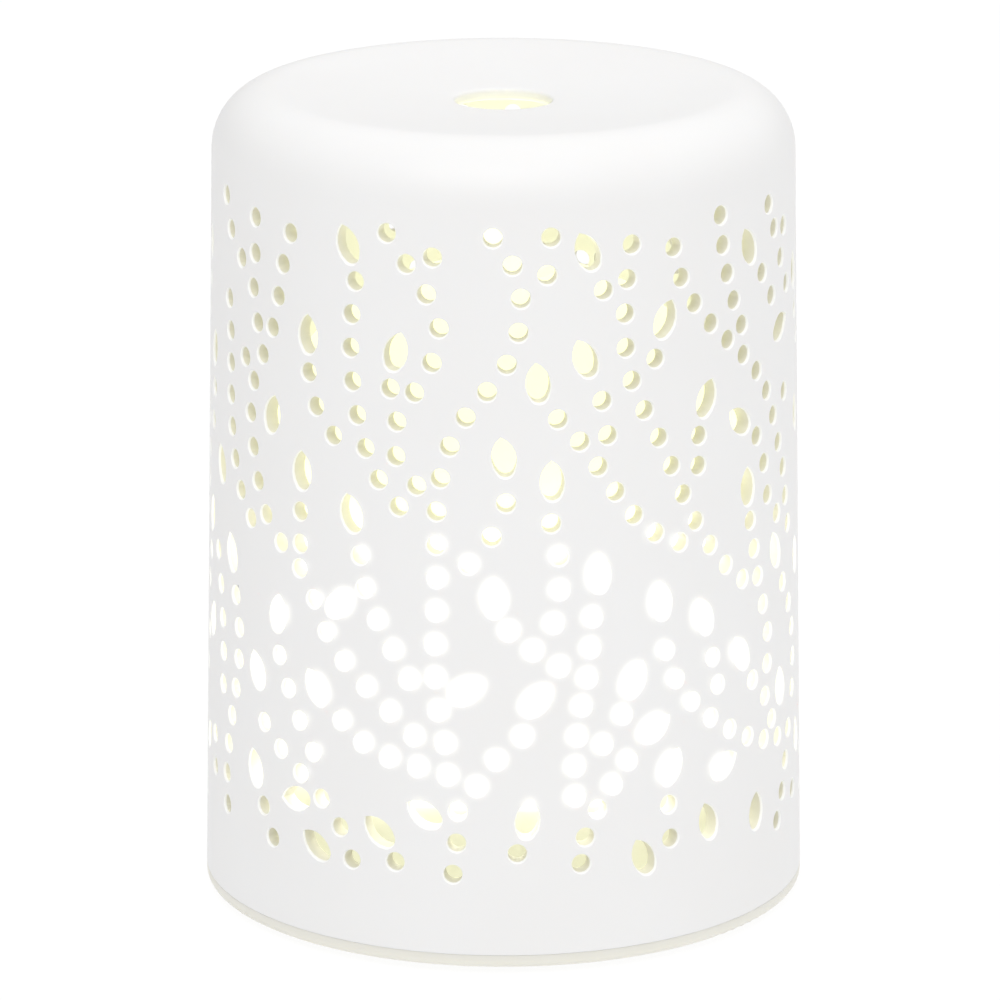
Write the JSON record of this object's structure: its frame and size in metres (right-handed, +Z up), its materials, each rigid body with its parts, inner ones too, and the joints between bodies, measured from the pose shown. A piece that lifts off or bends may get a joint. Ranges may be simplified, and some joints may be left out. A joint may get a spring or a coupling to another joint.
{
  "type": "ultrasonic aroma diffuser",
  "caption": "Electric aroma diffuser: a pierced white porcelain bell with a mist outlet lifts off a round base holding a water tank, splash lid, light ring, fan and rear buttons.",
  "frame": {"origin": "middle of the object at the level of its feet", "axes": "+Z up along the cover's axis, -Y to the pictured front, +Y to the rear panel with the power inlet"},
  "size_m": [0.102, 0.102, 0.1382],
  "materials": {
    "porcelain": "matte bisque",
    "translucent_polypropylene": "frosted translucent",
    "silicone": "matte",
    "screw_steel": "zinc plated",
    "transducer_metal": "satin",
    "white_plastic": "matte",
    "board_laminate": "satin",
    "led_phosphor": "gloss",
    "cream_plastic": "satin translucent",
    "foot_rubber": "matte",
    "black_plastic": "matte",
    "contact_brass": "polished",
    "button_plastic": "matte",
    "sink_aluminium": "extruded",
    "capacitor_sleeve": "gloss",
    "coil_copper": "enamelled",
    "connector_plastic": "matte",
    "lead_jacket": "matte"
  },
  "bodies": {
    "base": {"base_plate": "cream_plastic", "housing": "white_plastic", "rubber_feet": "foot_rubber", "base_screws": "screw_steel", "water_tank": "translucent_polypropylene", "tank_seal": "silicone", "tank_screws": "screw_steel", "piezo_disc": "transducer_metal", "piezo_gasket": "silicone", "piezo_clamp": "white_plastic", "piezo_screws": "screw_steel", "led_board": "board_laminate", "leds": "led_phosphor", "led_screws": "screw_steel", "main_board": "board_laminate", "board_screws": "screw_steel", "dc_jack": "black_plastic", "dc_jack_pin": "contact_brass", "tact_switches": "black_plastic", "power_transistor": "black_plastic", "heat_sink": "sink_aluminium", "filter_capacitor": "capacitor_sleeve", "driver_coil": "coil_copper", "control_chip": "black_plastic", "lead_connectors": "connector_plastic", "fan_frame": "black_plastic", "fan_stator": "coil_copper", "fan_screws": "screw_steel", "fan_lead": "lead_jacket", "piezo_lead": "lead_jacket", "led_lead": "lead_jacket"},
    "cover": {"ceramic_cover": "porcelain"},
    "lid": {"mist_dome": "translucent_polypropylene"},
    "fan": {"fan_rotor": "black_plastic"},
    "mist_key": {"mist_button": "button_plastic"},
    "light_key": {"light_button": "button_plastic"}
  },
  "joints": [
    {"name": "cover_lift", "type": "slide", "parent": "base", "child": "cover", "axis": [0, 0, 1], "range_m": [0, 0.15]},
    {"name": "lid_lift", "type": "slide", "parent": "base", "child": "lid", "axis": [0, 0, 1], "range_m": [0, 0.02]},
    {"name": "fan_spin", "type": "hinge", "parent": "base", "child": "fan", "pos_m": [0, -0.0225, 0.0095], "axis": [0, 0, 1], "continuous": true},
    {"name": "mist_press", "type": "slide", "parent": "base", "child": "mist_key", "axis": [0, -1, 0], "range_m": [0, 0.0006], "stiffness_N_per_m": 300, "springref_m": -0.002},
    {"name": "light_press", "type": "slide", "parent": "base", "child": "light_key", "axis": [0, -1, 0], "range_m": [0, 0.0006], "stiffness_N_per_m": 300, "springref_m": -0.002}
  ]
}
